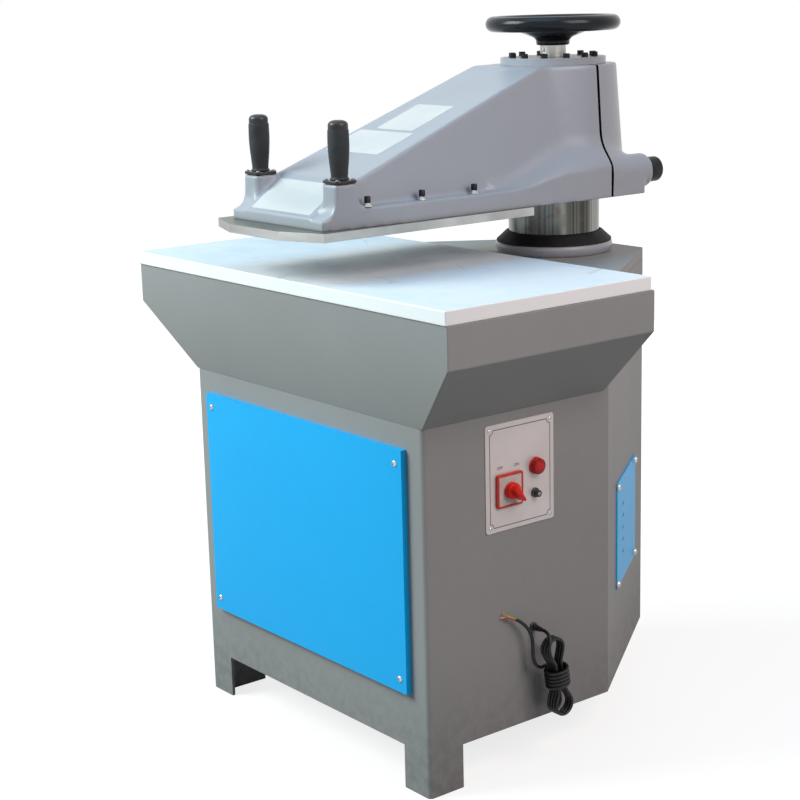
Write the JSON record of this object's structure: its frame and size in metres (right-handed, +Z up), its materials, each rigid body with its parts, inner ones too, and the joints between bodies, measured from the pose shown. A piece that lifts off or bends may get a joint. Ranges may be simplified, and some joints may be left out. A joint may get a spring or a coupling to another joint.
{
  "type": "hydraulic swing-arm cutting press",
  "caption": "Free-standing hydraulic swing-arm press: grey steel cabinet with flared table and white board, a swinging arm with twin button grips on a round column, and a height handwheel.",
  "frame": {"origin": "on the floor, under the axis of the column", "axes": "+X to the operator's right, +Y to the back, +Z up"},
  "size_m": [0.9, 0.827, 1.2642],
  "materials": {
    "cabinet_paint": "satin",
    "arm_paint": "semi-gloss",
    "cover_paint": "semi-gloss",
    "board_plastic": "matte",
    "bright_steel": "ground",
    "black_steel": "blackened",
    "black_rubber": "matte",
    "black_plastic": "gloss",
    "control_face": "satin",
    "red_plastic": "gloss",
    "unit_paint": "satin",
    "bronze": "turned"
  },
  "bodies": {
    "base": {"front_panel": "cabinet_paint", "leg_post_left": "cabinet_paint", "leg_post_right": "cabinet_paint", "side_panel_left": "cabinet_paint", "side_panel_right": "cabinet_paint", "wing_panel_left": "cabinet_paint", "wing_panel_right": "cabinet_paint", "rear_panel": "cabinet_paint", "floor_plate": "cabinet_paint", "rear_foot": "cabinet_paint", "skirt_front": "cabinet_paint", "skirt_left": "cabinet_paint", "skirt_right": "cabinet_paint", "table_plate": "cabinet_paint", "deck_plate": "cabinet_paint", "cutting_board": "board_plastic", "front_cover": "cover_paint", "vent_cover": "cover_paint", "panel_screws": "bright_steel", "control_plate": "control_face", "switch_body": "red_plastic", "pilot_lamp": "red_plastic", "fuse_holder": "black_plastic", "guide_sleeve": "arm_paint", "dust_skirt": "black_rubber", "cylinder_barrel": "unit_paint", "cylinder_head": "unit_paint", "oil_tank": "unit_paint", "motor": "unit_paint", "pump": "unit_paint", "valve_block": "bright_steel", "oil_pipes": "bright_steel", "cable_gland": "black_plastic", "cord_lead": "black_rubber", "cord_hank": "black_rubber", "cord_tail": "black_rubber"},
    "switch": {"switch_knob": "red_plastic"},
    "drive": {"drive_coupling": "bright_steel"},
    "ram": {"piston_rod": "bright_steel", "thrust_bearing": "bright_steel", "rod_nut": "bright_steel"},
    "column": {"column": "bright_steel", "spindle_nut": "bronze"},
    "arm": {"arm_casting": "arm_paint", "clamp_cap": "arm_paint", "clamp_bolts": "black_steel", "platen": "bright_steel", "platen_bolts": "black_steel", "platen_bushes": "bright_steel", "top_cap": "arm_paint", "cap_screws": "black_steel", "grip_plates": "black_plastic", "grip_screws": "bright_steel", "grip_left": "black_rubber", "grip_right": "black_rubber"},
    "button_left": {"button_left": "black_plastic"},
    "button_right": {"button_right": "black_plastic"},
    "wheel": {"handwheel": "black_plastic", "spindle": "bright_steel", "lock_collar": "bright_steel"}
  },
  "joints": [
    {"name": "power_switch", "type": "hinge", "parent": "base", "child": "switch", "pos_m": [0.3325, -0.421, 0.504], "axis": [1, 0, 0], "range_deg": [0, 90]},
    {"name": "pump_drive", "type": "hinge", "parent": "base", "child": "drive", "pos_m": [0, -0.441, 0.188], "axis": [1, 0, 0], "continuous": true},
    {"name": "press_stroke", "type": "slide", "parent": "base", "child": "ram", "axis": [0, 0, 1], "range_m": [-0.05, 0]},
    {"name": "arm_swing", "type": "hinge", "parent": "ram", "child": "column", "pos_m": [0, 0, 0.9], "axis": [0, 0, 1], "range_deg": [-90, 90]},
    {"name": "arm_height", "type": "slide", "parent": "column", "child": "arm", "axis": [0, 0, 1], "range_m": [-0.02, 0.03]},
    {"name": "wheel_turn", "type": "hinge", "parent": "arm", "child": "wheel", "pos_m": [0, 0, 1.2], "axis": [0, 0, 1], "range_deg": [-901, 1351]},
    {"name": "press_button_left", "type": "slide", "parent": "arm", "child": "button_left", "axis": [0, 0, -1], "range_m": [0, 0.004], "stiffness_N_per_m": 1000, "springref_m": -0.002},
    {"name": "press_button_right", "type": "slide", "parent": "arm", "child": "button_right", "axis": [0, 0, -1], "range_m": [0, 0.004], "stiffness_N_per_m": 1000, "springref_m": -0.002}
  ],
  "couplings": [
    {"joint": "wheel_turn", "follows": "arm_height", "rad_per_m": 785.4}
  ]
}
